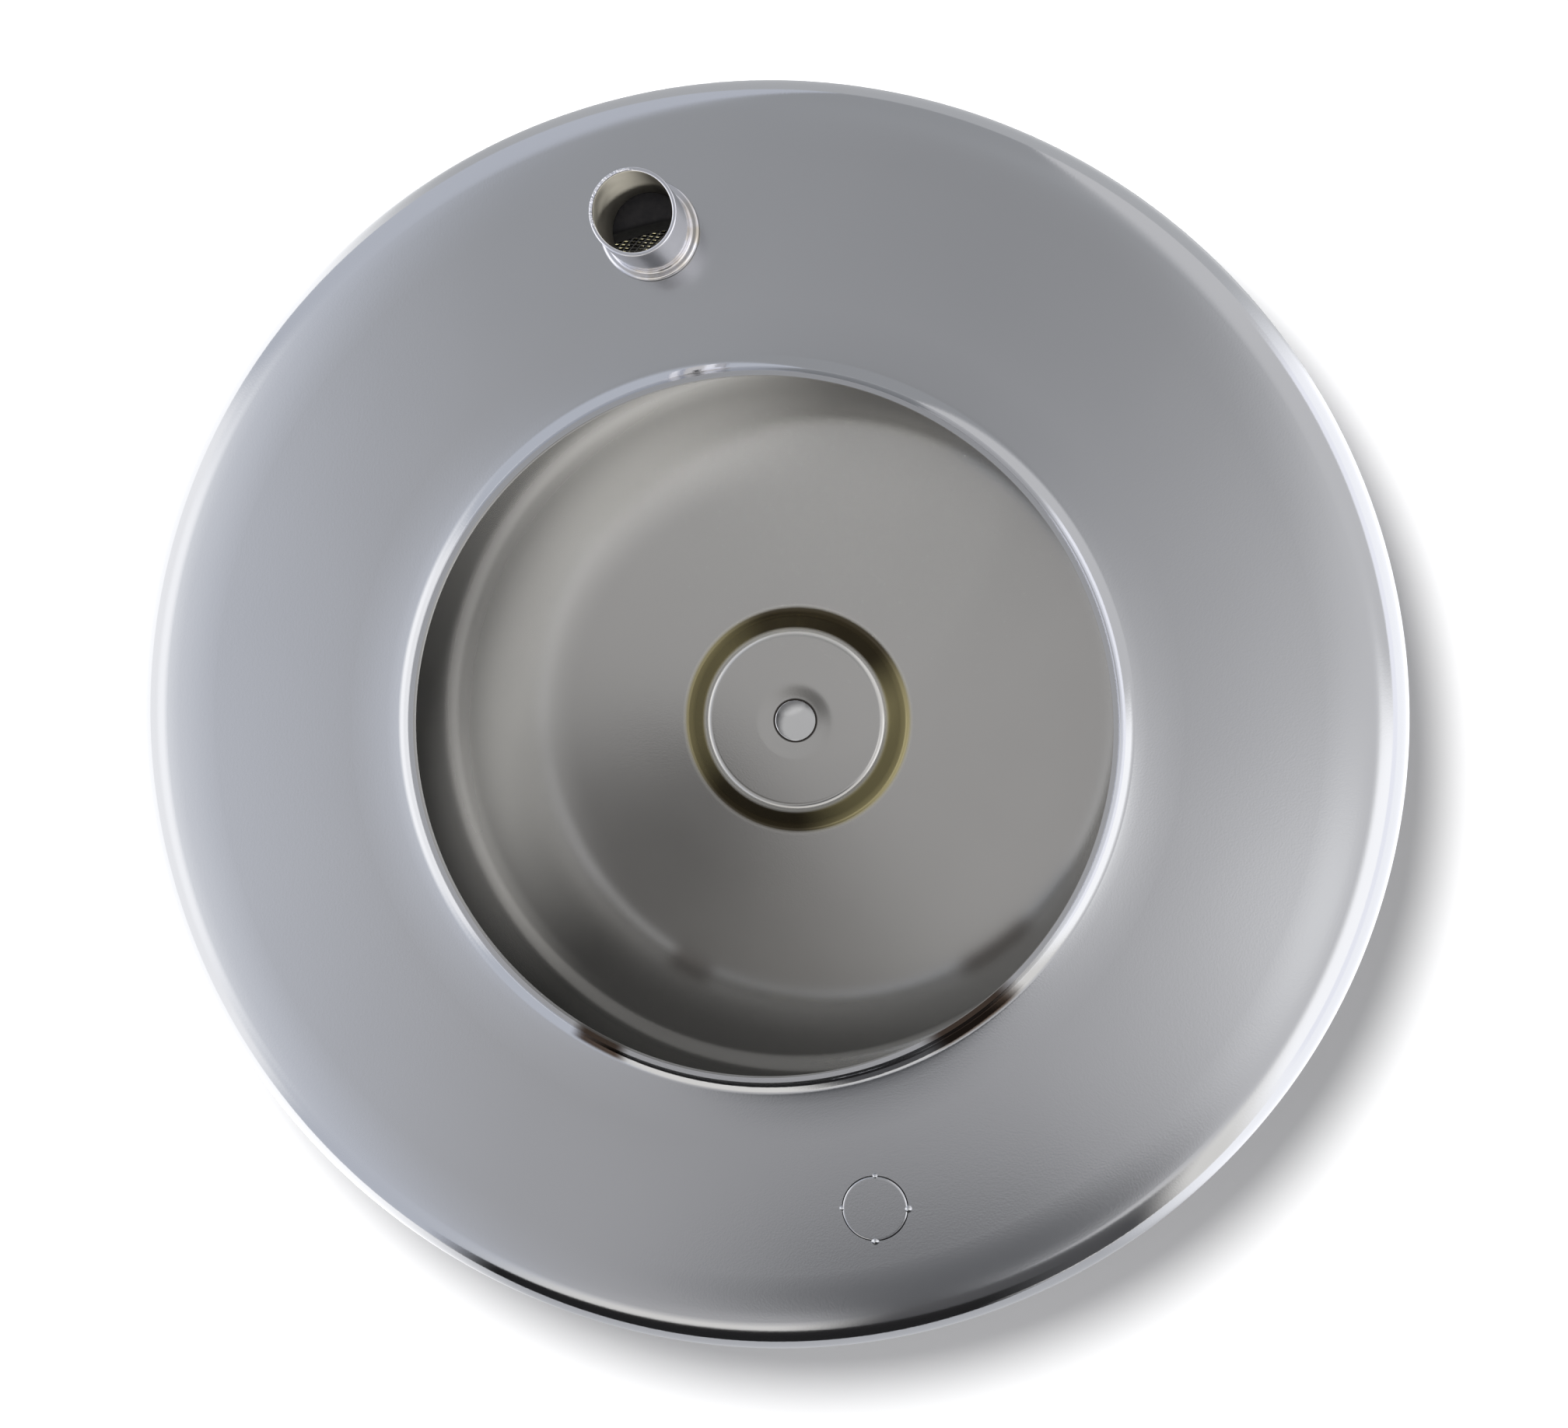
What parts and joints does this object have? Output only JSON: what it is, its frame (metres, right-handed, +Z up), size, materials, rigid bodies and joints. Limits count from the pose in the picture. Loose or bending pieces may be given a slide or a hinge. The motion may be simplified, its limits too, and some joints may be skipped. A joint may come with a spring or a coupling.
{
  "type": "carburetor air cleaner",
  "caption": "Round open-element air cleaner: base pan with a drawn neck and breather tube, pleated paper filter between two seals, and a lid with a recessed stud hole.",
  "frame": {"origin": "centre of the neck's bore, on the lower edge of the neck that drops over the carburetor's air horn", "axes": "+Z up through the lid along the neck's axis; the breather tube is on the -Y side and the knock-out on the +Y side; +X completes a right-handed frame"},
  "size_m": [0.2517, 0.2516, 0.0705],
  "materials": {
    "pan_chrome": "satin chrome with mirror-bright edges",
    "tube_chrome": "bright outside, brown-grey inside",
    "seal_rubber": "matt moulded",
    "filter_paper": "matt paper",
    "inner_mesh": "dark dull metal",
    "outer_mesh": "dull metal",
    "lid_nickel": "satin nickel inside, bright outside"
  },
  "bodies": {
    "root": {"base_pan": "pan_chrome", "breather_tube": "tube_chrome", "bottom_seal": "seal_rubber", "top_seal": "seal_rubber", "pleated_paper": "filter_paper", "inner_screen": "inner_mesh", "outer_screen": "outer_mesh", "lid": "lid_nickel"}
  },
  "joints": []
}
